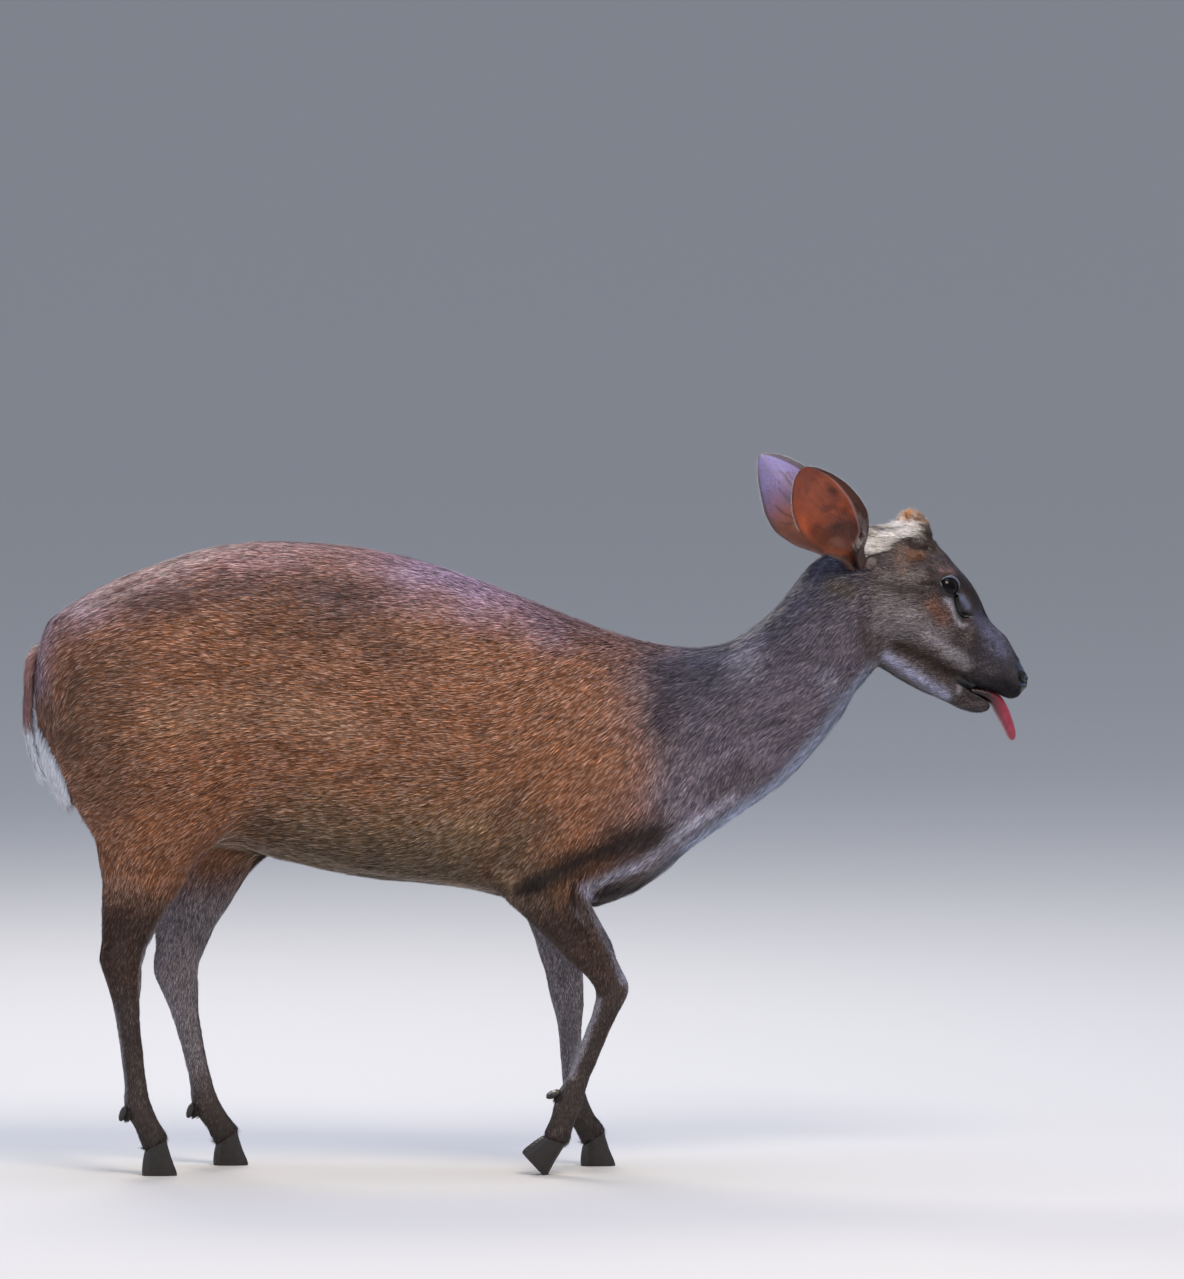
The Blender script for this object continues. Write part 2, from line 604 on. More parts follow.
def bareness(p):
    """Where the skin shows bare and wet or black: nose pad, nostrils, lips, glands, lid rims."""
    x, y, z = p.T
    q = one_side(p)
    pad = ramp(x + 0.30 * (z - 490) - 0.12 * np.abs(y), 990, 992.5)
    pad *= ramp(z, 476, 479) * ramp(-z, -513, -509)
    seen = side_view(p)
    gland = (stroke(seen, GLAND, 4.0) > 0.4) & (np.abs(y) > 14)
    middle, aim, along, across = eye_axes(-1)
    off = q * np.array([1, -1, 1]) - middle
    u, v = off @ along, off @ across
    round_eye = np.hypot(u / (LID_HALF_LONG + 1.2), v / (LID_HALF_TALL + 1.4))
    rim = (round_eye < 1.0) & (off @ aim > 0)
    mouth = (stroke(p, [(930, 10, 494), (950, 8, 484), (962, 7, 478)], 7.5) > 0.45) & (q[:, 1] < 16)
    return np.clip(pad + gland + rim + mouth, 0, 1)


place = straight(points_of(skin.data))
facing = normals_of(skin.data)
bare = bareness(place)
paint = markings(place, facing)
paint[:-lid_points] = painted(paint[:-lid_points], bare[:-lid_points], BLACK_SKIN)
wet_top = bare * ramp(place[:, 0], 985, 990) * ramp(facing[:, 2], 0.1, 0.7)
paint = painted(paint, 0.5 * wet_top, "#55648c")
number = np.arange(lid_points)
across_lid, round_lid = number % len(LID_PROFILE), number // len(LID_PROFILE) % LID_STEPS
bare[-lid_points:] = (across_lid < 5) | (across_lid > 6)
above = np.sin(2 * math.pi * round_lid / LID_STEPS)
upper = ramp(across_lid, 1.4, 2.6) * ramp(-across_lid, -5.0, -4.2) * ramp(above, 0.05, 0.55)
lids = painted(paint[-lid_points:], ramp(-across_lid, -4.6, -3.2), BLACK_SKIN)
paint[-lid_points:] = painted(lids, 0.85 * upper, "#9da2bf")


def stored(mesh, name, values):
    """A colour for each point, kept in the mesh by name."""
    attribute = mesh.color_attributes.new(name, "FLOAT_COLOR", "POINT")
    full = np.ones((len(values), 4), np.float32)
    full[:, : values.shape[1]] = values
    attribute.data.foreach_set("color", full.ravel())


stored(skin.data, "coat_colour", paint * (0.62 + 0.10 * noise(place, 9, 5))[:, None])
stored(skin.data, "bare_skin", np.repeat(bare[:, None], 3, axis=1))


def node(tree, kind, settings=None, inputs=None):
    """One shader node, its settings, and what each input holds or is linked from."""
    made = tree.nodes.new(kind)
    for key, value in (settings or {}).items():
        setattr(made, key, value)
    for key, value in (inputs or {}).items():
        if isinstance(value, bpy.types.NodeSocket):
            tree.links.new(value, made.inputs[key])
        else:
            made.inputs[key].default_value = value
    return made


def finish_of(name, values):
    """A new material, its tree and its shader, with the values on the shader's sockets."""
    made = bpy.data.materials.new(name)
    made.use_nodes = True
    shader = made.node_tree.nodes["Principled BSDF"]
    for key, value in values.items():
        shader.inputs[key].default_value = value
    return made, made.node_tree, shader


def opaque(hex_colour):
    """A hex colour as a socket holds it, with its fourth number."""
    return (*linear(hex_colour), 1)


def kept(tree, name):
    """The node that reads a mesh's own colour for each point."""
    return node(tree, "ShaderNodeAttribute", {"attribute_name": name})


def coloured(tree, shader, name):
    """The shader's colour, taken from the mesh's own colour of that name."""
    tree.links.new(kept(tree, name).outputs["Color"], shader.inputs["Base Color"])


def texture(tree, kind, scale, detail=None, stretch=(1, 1, 1)):
    """A texture in the object's own space, with so many cells or waves to the metre."""
    at = node(tree, "ShaderNodeTexCoord").outputs["Object"]
    at = node(tree, "ShaderNodeMapping", {}, {"Vector": at, "Scale": stretch}).outputs[0]
    inputs = {"Vector": at, "Scale": scale}
    if detail is not None:
        inputs["Detail"] = detail
    return node(tree, f"ShaderNodeTex{kind}", {}, inputs)


def blended(tree, share, low, high):
    """A colour between two, by the share."""
    inputs = {0: share, 6: low, 7: high}
    return node(tree, "ShaderNodeMix", {"data_type": "RGBA"}, inputs).outputs[2]


def bumped(tree, shader, height, strength, distance):
    """A bump of so many metres on the shader."""
    inputs = {"Height": height, "Strength": strength, "Distance": distance}
    tree.links.new(node(tree, "ShaderNodeBump", {}, inputs).outputs[0], shader.inputs["Normal"])


# Raw hide under hair: dull, with the hair's lie pressed in as fine streaks about 1 mm apart,
# and a pebbled wet gloss where it is bare.
hide, tree, shader = finish_of("deer_hide_with_short_hair", {})
naked = kept(tree, "bare_skin").outputs["Fac"]
streaks = texture(tree, "Noise", 900.0, 3.0, (0.12, 1, 1))
pebbles = texture(tree, "Voronoi", 900.0)
heights = {0: naked, 2: streaks.outputs["Fac"], 3: pebbles.outputs["Distance"]}
bumped(tree, shader, node(tree, "ShaderNodeMix", {}, heights).outputs[0], 0.5, 0.0006)
gloss = {"Value": naked, "To Min": 0.75, "To Max": 0.26}
gloss = node(tree, "ShaderNodeMapRange", {}, gloss).outputs[0]
tree.links.new(gloss, shader.inputs["Roughness"])
coloured(tree, shader, "coat_colour")
skin.data.materials.clear()
skin.data.materials.append(hide)
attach(skin, "root")
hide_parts(*FLESH)

# The eyes. Each is a dark wet ball with a nearly black brown iris and a long level pupil,
# under a clear cornea that swells a little in front and holds the sky's reflection.
WET_EYE = {"Roughness": 0.04, "IOR": 1.376, "Specular IOR Level": 0.25}
eyeball, tree, shader = finish_of("wet_cornea_over_dark_iris", WET_EYE)
coloured(tree, shader, "iris_colour")
for name, side in SIDES.items():
    middle, aim, along, across = eye_axes(side)
    ball = bmesh.new()
    bmesh.ops.create_uvsphere(ball, u_segments=64, v_segments=40, radius=1)
    unit = np.array([v.co for v in ball.verts])
    swell = 1 + 0.035 * np.exp(-((1 - unit[:, 2]) / 0.30) ** 2)
    local = unit * swell[:, None] * (EYE_RADIUS - 0.05)
    shape = middle + local[:, :1] * along + local[:, 1:2] * across + local[:, 2:] * aim
    for v, at_place in zip(ball.verts, placed(shape)):
        v.co = at_place
    bmesh.ops.recalc_face_normals(ball, faces=ball.faces)
    mesh = bpy.data.meshes.new(f"eyeball_{name}")
    ball.to_mesh(mesh)
    ball.free()
    level = math.radians(8)
    u, v = unit[:, 0], unit[:, 1]
    pupil_u = u * math.cos(level) - v * math.sin(level)
    pupil_v = u * math.sin(level) + v * math.cos(level)
    tone = np.tile(linear("#0f0806"), (len(unit), 1))
    tone = painted(tone, ramp(np.hypot(u, v), 0.50, 0.68), "#060404")
    tone = painted(tone, ramp(-np.hypot(pupil_u / 1.7, pupil_v), -0.26, -0.20), "#030304")
    stored(mesh, "iris_colour", tone)
    mesh.shade_smooth()
    mesh.materials.append(eyeball)
    eye = in_scene(f"eyeball_{name}", mesh)
    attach(eye, "root")
    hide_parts(f"eye_{name}")

# The tongue. It hangs from the half open mouth, wet red flesh with a groove down its middle
# and fine bristly bumps on top, darker at its root. Each row: top, underside, half the width.
TONGUE = [
    ((934, 487), (933, 482), 6.0),
    ((948, 486), (944, 479), 8.0),
    ((962, 484.5), (957, 475), 9.2),
    ((975, 479), (967, 469), 10.2),
    ((983, 469), (971.5, 461), 10.6),
    ((988, 457), (977, 451.5), 10.2),
    ((991.5, 446), (982.5, 441), 8.8),
    ((993, 438), (986, 434.5), 6.4),
    ((992.6, 433.8), (988.5, 432.0), 3.2),
]


def smooth_rows(rows, steps):
    """The rows with a smooth curve's values between them."""
    rows = np.asarray(rows, float)
    ends = np.vstack([2 * rows[0] - rows[1], rows, 2 * rows[-1] - rows[-2]])
    made = []
    for i in range(len(rows) - 1):
        a, b, c, d = ends[i : i + 4]
        for t in np.linspace(0, 1, steps, endpoint=False):
            made.append(
                b
                + 0.5 * t * (c - a)
                + t * t * (a - 2.5 * b + 2 * c - 0.5 * d)
                + t * t * t * (1.5 * (b - c) + 0.5 * (d - a))
            )
    made.append(rows[-1])
    return np.array(made)


def tube(rings):
    """Vertices and faces of a closed tube through rings of equal counts, in straight places."""
    rings = np.asarray(rings)
    rows, count = rings.shape[:2]
    verts = np.vstack([rings.reshape(-1, 3), rings[0].mean(0), rings[-1].mean(0)])
    faces = []
    for i in range(rows - 1):
        for k in range(count):
            m = (k + 1) % count
            faces.append((i * count + k, i * count + m, (i + 1) * count + m, (i + 1) * count + k))
    for k in range(count):
        m = (k + 1) % count
        faces.append((m, k, rows * count))
        faces.append(((rows - 1) * count + k, (rows - 1) * count + m, rows * count + 1))
    return verts, faces


def piece_of(name, verts, faces, material):
    """A smooth piece from straight places, with its faces turned outwards."""
    mesh = bpy.data.meshes.new(name)
    mesh.from_pydata(placed(verts).tolist(), [], faces)
    turned = bmesh.new()
    turned.from_mesh(mesh)
    bmesh.ops.recalc_face_normals(turned, faces=turned.faces)
    turned.to_mesh(mesh)
    turned.free()
    mesh.shade_smooth()
    mesh.materials.append(material)
    made = in_scene(name, mesh)
    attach(made, "root")
    return made


rings = []
flat_rows = [(*top, *low, half) for top, low, half in TONGUE]
for x1, z1, x2, z2, half in smooth_rows(flat_rows, 6):
    turn = np.linspace(0, 2 * math.pi, 40, endpoint=False)
    across = np.sign(np.cos(turn)) * np.abs(np.cos(turn)) ** 0.8 * half
    up = np.sin(turn) * 0.5 + 0.5
    groove = 1.3 * np.exp(-((across / 1.8) ** 2)) * (up > 0.5)
    reach = np.array([x1 - x2, 0, z1 - z2])
    sunk = up - groove / np.linalg.norm(reach)
    rings.append(np.column_stack([x2 + sunk * reach[0], across, z2 + sunk * reach[2]]))
# Wet flesh: a soft broad gloss, light that goes in a little way, and bumps under 1 mm apart.
WET_FLESH = {
    "Roughness": 0.32,
    "Subsurface Weight": 0.12,
    "Subsurface Radius": (0.003, 0.001, 0.0006),
    "Coat Weight": 0.08,
}
flesh, tree, shader = finish_of("wet_tongue", WET_FLESH)
bumped(tree, shader, texture(tree, "Voronoi", 1100.0).outputs["Distance"], 0.55, 0.0004)
blotch = texture(tree, "Noise", 160.0).outputs["Fac"]
red = blended(tree, blotch, opaque("#74152a"), opaque("#a83a50"))
red = blended(tree, kept(tree, "mouth_shade").outputs["Fac"], red, opaque("#1d060b"))
tree.links.new(red, shader.inputs["Base Color"])
tongue = piece_of("tongue_flesh", *tube(rings), flesh)
in_mouth = ramp(-straight(points_of(tongue.data))[:, 0], -985, -962)
stored(tongue.data, "mouth_shade", np.repeat(in_mouth[:, None], 3, axis=1))
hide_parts("tongue")

# The ears. Each is a thin leaf of skin and gristle, rolled to a tube at its root and open
# along its front. Light comes through it, so its inside glows orange brown and veins show.
EAR_LONG, EAR_THICK, EAR_SPREAD = 124.0, 1.5, 34
EAR_HALF_WIDE = {-1: 32.5, 1: 36.0}
EAR_ROOT = (821.5, 26.0, 621.0)
EAR_WAYS = {
    -1: ((-56, -66, 89), (-0.10, -0.86, -0.50)),
    1: ((-84, 18, 98), (-0.15, 0.93, -0.20)),
}
# Along an ear: how far up, how wide, and how many degrees of a ring the leaf takes up.
EAR_SHAPE = [
    (-0.10, 0.30, 165),
    (-0.04, 0.34, 162),
    (0.02, 0.38, 156),
    (0.09, 0.46, 142),
    (0.18, 0.62, 114),
    (0.30, 0.84, 92),
    (0.45, 1.00, 78),
    (0.60, 0.96, 70),
    (0.74, 0.78, 62),
    (0.86, 0.53, 56),
    (0.94, 0.31, 50),
    (1.00, 0.07, 45),
]
EAR_ROUND = 49
# Each vein's line, up the leaf and across it.
VEINS = [
    [(0.10, 0.0), (0.30, 0.08), (0.55, 0.02), (0.80, 0.0)],
    [(0.22, 0.05), (0.38, 0.30), (0.52, 0.50), (0.62, 0.62)],
    [(0.30, 0.08), (0.44, -0.20), (0.58, -0.36), (0.70, -0.42)],
    [(0.40, 0.06), (0.54, 0.22), (0.70, 0.32)],
    [(0.16, -0.05), (0.26, -0.40), (0.40, -0.64), (0.52, -0.74)],
    [(0.44, -0.20), (0.52, -0.10), (0.66, -0.16)],
    [(0.38, 0.30), (0.42, 0.52), (0.48, 0.70)],
    [(0.55, 0.02), (0.64, -0.08), (0.76, -0.20)],
]

# Thin skin under a fine nap: dull, with light that spreads red inside it.
THIN_SKIN = {
    "Roughness": 0.55,
    "Subsurface Weight": 0.35,
    "Subsurface Radius": (0.004, 0.0016, 0.0009),
}
ear_skin, tree, shader = finish_of("thin_ear_skin_with_light_through_it", THIN_SKIN)
coloured(tree, shader, "coat_colour")
bumped(tree, shader, texture(tree, "Noise", 900.0, 3.0).outputs["Fac"], 0.35, 0.0004)
ears_made = {}
for name, side in SIDES.items():
    way, open_way = (np.array(v, float) for v in EAR_WAYS[side])
    way /= np.linalg.norm(way)
    open_way -= way * (open_way @ way)
    open_way /= np.linalg.norm(open_way)
    across = np.cross(way, open_way)
    root = np.array([EAR_ROOT[0], side * EAR_ROOT[1], EAR_ROOT[2]])
    rows = smooth_rows(EAR_SHAPE, 9)
    rings, shares, turns, inside = [], [], [], []
    half_wide = EAR_HALF_WIDE[side]
    for share, wide, opening in rows:
        half = math.radians(opening)
        radius = half_wide * wide / math.sin(min(half, math.pi / 2))
        filled = float(ramp(0.20 - share, 0.0, 0.16))
        thick = EAR_THICK * (1.15 - 0.5 * share) + filled * radius * 0.8
        sunk = min(radius, half_wide * 0.9)
        middle = root + way * (EAR_LONG * share) + open_way * (radius - sunk * 0.55)
        arc = np.linspace(-half, half, EAR_ROUND)
        edge = 1 - 0.7 * np.abs(arc / half) ** 10
        there = np.column_stack([arc * 30, np.full(EAR_ROUND, share * EAR_LONG), arc * 0])
        ripple = 0.35 * noise(there, 9, 11)
        for sign, depth, bowed in ((0, 0, arc), (1, thick * edge, arc[::-1])):
            reach = np.maximum(radius + ripple - depth, 0.3)[:, None]
            sine, cosine = np.sin(bowed)[:, None], np.cos(bowed)[:, None]
            rings.append(middle + (across * sine - open_way * cosine) * reach)
            shares.append(np.full(EAR_ROUND, share))
            turns.append(bowed / half)
            inside.append(np.full(EAR_ROUND, sign))
    rings = np.array(rings).reshape(len(rows), -1, 3)
    shares, turns, inside = (np.concatenate(v) for v in (shares, turns, inside))
    verts, faces = tube(rings)
    shares = np.append(shares, [shares[0], shares[-1]])
    turns = np.append(turns, [0, 0])
    inside = np.append(inside, [0, 0])
    leaf = np.column_stack([shares * EAR_LONG, turns * EAR_SPREAD, np.zeros(len(shares))])
    vein = np.zeros(len(verts))
    for k, line in enumerate(VEINS):
        places = [(s * EAR_LONG, t * EAR_SPREAD * (1 + 0.06 * side), 0) for s, t in line]
        wiggle = np.array([0, 1, 0]) * 1.4 * noise(leaf, 14, 20 + k)[:, None]
        vein_wide = 1.1 if k == 0 else 0.7
        vein = np.maximum(vein, np.exp(-off_line(leaf + wiggle, places) / vein_wide**2))
    mottled = noise(leaf, 16, 31) * 0.6 + noise(leaf, 6, 32) * 0.4
    high = ramp(shares, 0.42, 0.80)
    tone = np.tile(linear("#984a30" if side < 0 else "#87482f"), (len(verts), 1))
    tone = painted(tone, 0.45 + 0.9 * mottled, "#c26238" if side < 0 else "#9c5438")
    tone = painted(tone, np.clip(1.1 * noise(leaf, 11, 33) - 0.15, 0, 1), "#4a2019")
    tone = painted(tone, 0.85 * high * (side > 0), "#7d7ab2")
    tone = painted(tone, 0.45 * ramp(shares, 0.60, 0.85) * (side < 0), "#6d3a3a")
    tone = painted(tone, 0.75 * ramp(-shares, -0.40, -0.22) * (side < 0), "#3c231c")
    vein *= (0.30 if side < 0 else 0.62) * (1 + 0.7 * noise(leaf, 9, 34))
    tone = painted(tone, vein, "#2c1512")
    rim = ramp(np.abs(turns), 0.86, 0.98)
    tone = painted(tone, 0.7 * rim, "#352522")
    ahead = -turns * side
    tone = painted(tone, 0.9 * ramp(ahead, 0.50, 0.58) * ramp(shares, -0.1, 0.1), "#40332f")
    tone = painted(tone, 0.7 * np.exp(-(((ahead - 0.50) / 0.03) ** 2)) * (side < 0), "#b7a29c")
    tone = painted(tone, 0.5 * (inside < 0.5) * (side < 0), "#54453d")
    ear = piece_of(f"ear_leaf_{name}", verts, faces, ear_skin)
    stored(ear.data, "coat_colour", tone)
    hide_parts(f"ear_{name}")
    ears_made[name] = (ear.data, way, shares, turns, inside)

# The hooves and dewclaws. They stay the solids, in dull dark horn with fine rings of growth
# and scuffed paler edges.
horn, tree, shader = finish_of("grown_horn_scuffed", {"Roughness": 0.42})
growth = texture(tree, "Wave", 130.0, 2.0)
growth.wave_type, growth.bands_direction = "BANDS", "Z"
growth.inputs["Distortion"].default_value = 3.0
scuffs = texture(tree, "Noise", 260.0, 4.0).outputs["Fac"]
scuffed = blended(tree, scuffs, opaque("#120f0d"), opaque("#2f2823"))
tree.links.new(scuffed, shader.inputs["Base Color"])
bumped(tree, shader, growth.outputs["Fac"], 0.4, 0.0003)
for name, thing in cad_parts.items():
    if name.startswith(("hoof_", "dewclaw_")):
        thing.data.materials.clear()
        thing.data.materials.append(horn)

# The coat. Short stiff hair lies back and down over the whole hide, each blade here a small
# lock of it: dark at its root, banded, and pale at its tip. It is planted from arrays, the
# blades following the lie of the coat, and each has its own patch on an unwrap of the skin.
# FLOW tells the lie: a place, and the way that the hair points there.
FLOW = [
    ((150, 30, 600), (-1, 0.15, -0.10)),
    ((60, 60, 560), (-0.95, 0.1, -0.30)),
    ((30, 40, 480), (-0.3, 0, -1)),
    ((110, 85, 480), (-1, 0, -0.06)),
    ((200, 85, 540), (-1, 0, 0.12)),
    ((80, 70, 410), (-0.85, 0, -0.45)),
    ((150, 80, 400), (-0.95, 0, -0.20)),
    ((140, 75, 350), (-0.75, 0, -0.6)),
    ((110, 55, 300), (-0.25, 0, -1)),
    ((100, 52, 150), (0, 0, -1)),
    ((180, 50, 250), (-0.2, 0, -1)),
    ((300, 20, 625), (-1, 0.1, 0)),
    ((450, 20, 605), (-1, 0.1, 0)),
    ((300, 90, 480), (-1, 0, 0.10)),
    ((300, 80, 380), (-1, 0, -0.04)),
    ((300, 20, 320), (-0.95, 0.2, 0)),
    ((420, 90, 440), (-1, 0, 0.08)),
    ((480, 80, 340), (-0.8, 0, -0.6)),
    ((560, 80, 430), (-0.8, 0, -0.6)),
    ((540, 60, 300), (-0.35, 0, -1)),
    ((560, 50, 150), (0, 0, -1)),
    ((620, 60, 400), (-0.6, 0, -0.8)),
    ((620, 10, 330), (-0.5, 0.3, -0.6)),
    ((650, 60, 500), (-0.85, 0, -0.5)),
    ((740, 50, 520), (-0.75, 0, -0.65)),
    ((820, 40, 580), (-0.75, 0, -0.6)),
    ((820, 20, 530), (-0.45, 0.1, -0.85)),
    ((700, 5, 400), (-0.3, 0.2, -0.9)),
    ((870, 42, 560), (-0.95, 0, -0.15)),
    ((900, 38, 540), (-0.97, 0, 0.1)),
    ((950, 25, 530), (-0.8, 0, 0.5)),
    ((985, 12, 510), (-0.65, 0, 0.75)),
    ((930, 10, 600), (-0.6, 0, 0.8)),
    ((905, 15, 625), (-0.6, 0, 0.8)),
    ((880, 10, 650), (-0.9, 0, 0.3)),
    ((850, 20, 640), (-1, 0, -0.1)),
    ((834, 34, 618), (-0.5, 0.5, 0.7)),
    ((945, 20, 485), (-0.95, 0, 0.2)),
    ((900, 20, 505), (-0.98, 0, 0)),
    ((870, 35, 610), (-0.95, 0.1, 0.1)),
]
# Hair length and lock width over the body, in millimetres: place, length, width.
HAIR = [
    ((150, 60, 560), 15, 0.95),
    ((60, 60, 470), 16, 0.95),
    ((100, 60, 360), 13, 0.9),
    ((100, 52, 220), 7.0, 0.7),
    ((110, 52, 90), 5.5, 0.6),
    ((540, 50, 120), 5.0, 0.6),
    ((560, 50, 220), 6.5, 0.7),
    ((530, 60, 310), 11, 1.0),
    ((300, 90, 450), 15, 0.95),
    ((300, 30, 320), 15, 1.0),
    ((450, 80, 500), 15, 0.95),
    ((600, 60, 450), 14, 0.95),
    ((620, 30, 350), 14, 1.0),
    ((700, 45, 500), 12, 0.52),
    ((760, 5, 440), 14, 0.55),
    ((800, 30, 560), 11, 0.48),
    ((860, 38, 570), 9.0, 0.6),
    ((880, 25, 525), 8.0, 0.6),
    ((900, 36, 560), 6.5, 0.5),
    ((890, 25, 615), 6.5, 0.5),
    ((925, 10, 600), 4.6, 0.5),
    ((930, 28, 545), 4.6, 0.5),
    ((918, 33, 588), 1.8, 0.34),
    ((930, 32, 568), 1.3, 0.3),
    ((940, 28, 560), 1.6, 0.32),
    ((960, 15, 540), 3.6, 0.45),
    ((985, 12, 505), 2.4, 0.38),
    ((970, 12, 470), 3.2, 0.4),
    ((940, 15, 485), 4.5, 0.5),
    ((1000, 8, 490), 1.6, 0.34),
]
# How far a root goes into the skin, and a blade's lightness from root to tip, since light
# hardly gets in between the roots. PATCH is a blade's size on the unwrap.
ROOT_SUNK, PATCH = 0.0003, 0.003
SHADE_UP, SHADE = [0, 0.45, 1], [0.38, 0.90, 1.0]
# A blade by its number of triangles: how far up and aside its points are, and its faces.
BLADES = {
    1: ([0, 0, 1], [-0.5, 0.5, 0], [(0, 2, 1)]),
    2: ([0, 0.45, 0.45, 1], [0, -0.5, 0.5, 0], [(0, 1, 2), (1, 3, 2)]),
    4: (
        [0, 0.3, 0.3, 0.68, 0.68, 1],
        [0, -0.5, 0.5, -0.38, 0.38, 0],
        [(0, 1, 2), (1, 4, 2), (1, 3, 4), (3, 5, 4)],
    ),
}


def nearby(p, places, values, power=3):
    """Values known at some places, blended between them. The sides are alike."""
    q = one_side(p)
    total, made = np.zeros(len(q)), np.zeros((len(q), len(values[0])))
    for at_place, value in zip(places, values):
        share = 1 / (((q - np.asarray(at_place, float)) ** 2).sum(1) + 60) ** (power / 2)
        total += share
        made += share[:, None] * np.asarray(value, float)
    return made / total[:, None]


def unwrapped(p, axis):
    """How far along a bent axis each place is, and how far round it, both from 0 to 1."""
    axis = np.asarray(axis, float)
    spans = np.linalg.norm(np.diff(axis, axis=0), axis=1)
    starts = np.concatenate([[0], np.cumsum(spans)])
    best, along, off = np.full(len(p), 1e18), np.zeros(len(p)), np.zeros((len(p), 3))
    for k, (a, b) in enumerate(zip(axis, axis[1:])):
        t = np.clip((p - a) @ (b - a) / spans[k] ** 2, 0, 1)
        away = p - a - t[:, None] * (b - a)
        far = (away**2).sum(1)
        closer = far < best
        best = np.where(closer, far, best)
        along = np.where(closer, starts[k] + t * spans[k], along)
        off = np.where(closer[:, None], away, off)
    way = (axis[-1] - axis[0]) / np.linalg.norm(axis[-1] - axis[0])
    up = np.cross(way, (0, 1, 0))
    return along / starts[-1], np.arctan2(off[:, 1], off @ up) / (2 * math.pi) + 0.5


def unit(v):
    """Rows as ways of length 1."""
    return v / np.maximum(np.linalg.norm(v, axis=1), 1e-9)[:, None]


def laid(way, normal, share=1.0):
    """Ways laid down on the surface, wholly or by a share."""
    return unit(way - share * normal * (way * normal).sum(1)[:, None])


def shades(chance, spread, count):
    """A chance factor of lightness for each hair."""
    return np.exp(chance.normal(0, spread, count))[:, None]


def patches(uv, margin=0.01):
    """The unwrap's own two numbers as two columns, kept off the patch's edge."""
    return np.column_stack([margin + (1 - 2 * margin) * v for v in uv])


def sided(p):
    """1, the side and 1 for each place, which carries what is told of the left to the right."""
    ones = np.ones(len(p))
    return np.column_stack([ones, np.where(p[:, 1] < 0, -1.0, 1.0), ones])


def planted(name, steps, stand, bend, size, tones, uv, material):
    """Blades as one piece. stand is root, normal and way, bend the skin's curve along the way,
    size length, width and lift in millimetres, and tones the colour at the root and the tip."""
    root, normal, way = stand
    long, wide, lift = size
    tone, tip_tone = tones
    s, o, triangles = (np.array(v) for v in BLADES[steps])
    count, each = len(root), len(s)
    side = unit(np.cross(normal, way))
    height = lift[:, None] * (1 - (1 - s) ** 2) - 0.5 * bend[:, None] * (long[:, None] * s) ** 2
    co = root[:, None] + (
        way[:, None] * (long[:, None] * s)[:, :, None]
        + normal[:, None] * height[:, :, None]
        + side[:, None] * (wide[:, None] * o)[:, :, None]
    ) / 1000
    co -= normal[:, None] * ROOT_SUNK
    mesh = bpy.data.meshes.new(name)
    mesh.vertices.add(count * each)
    mesh.vertices.foreach_set("co", co.astype(np.float32).ravel())
    corners = (np.arange(count)[:, None, None] * each + triangles[None]).reshape(-1, 3)
    mesh.loops.add(corners.size)
    mesh.loops.foreach_set("vertex_index", corners.ravel().astype(np.int32))
    mesh.polygons.add(len(corners))
    mesh.polygons.foreach_set("loop_start", np.arange(0, corners.size, 3, dtype=np.int32))
    mesh.update(calc_edges=True)
    shade = np.interp(s, SHADE_UP, SHADE)
    full = tone[:, None] * shade[None, :, None]
    mix = np.clip((s - 0.45) / 0.55, 0, 1)[None, :, None]
    full = full * (1 - mix) + tip_tone[:, None] * mix
    stored(mesh, "coat_colour", full.reshape(-1, 3))
    layer = mesh.uv_layers.new(name="OFBake")
    patch = uv[:, None] + PATCH * np.stack([o, s - 0.5], axis=1)[None]
    patch = patch.reshape(-1, 2)[corners.ravel()]
    layer.data.foreach_set("uv", patch.astype(np.float32).ravel())
    chance = np.random.default_rng(len(name) + count)
    roll = side * chance.normal(0, 0.40, count)[:, None]
    roll -= way * chance.normal(0.12, 0.12, count)[:, None]
    shading = unit(normal + roll)
    mesh.normals_split_custom_set_from_vertices(np.repeat(shading, each, axis=0).tolist())
    mesh.materials.append(material)
    made = in_scene(name, mesh)
    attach(made, "root")
    return made


def carried(p, way):
    """Directions on the straight animal, carried to the frame."""
    return unit(placed(p + way) - placed(p))


def surface_of(mesh):
    """A mesh's points, normals, triangles and their areas."""
    mesh.calc_loop_triangles()
    corners = np.empty(len(mesh.loop_triangles) * 3, np.int32)
    mesh.loop_triangles.foreach_get("vertices", corners)
    corners = corners.reshape(-1, 3)
    co = points_of(mesh)
    a, b, c = (co[corners[:, k]] for k in range(3))
    return co, normals_of(mesh), corners, np.linalg.norm(np.cross(b - a, c - a), axis=1)


def roots_on(surface, weight, count, chance):
    """Chance places on a surface: place, normal and triangle, more where the weight is more."""
    co, normals, corners, areas = surface
    share = weight * areas
    picked = chance.choice(len(share), count, p=share / share.sum())
    a, b = chance.random(count), chance.random(count)
    flip = a + b > 1
    a, b = np.where(flip, 1 - a, a), np.where(flip, 1 - b, b)
    part = np.stack([1 - a - b, a, b], axis=1)[:, :, None]
    root = (co[corners[picked]] * part).sum(1)
    normal = unit((normals[corners[picked]] * part).sum(1))
    return root, normal, picked


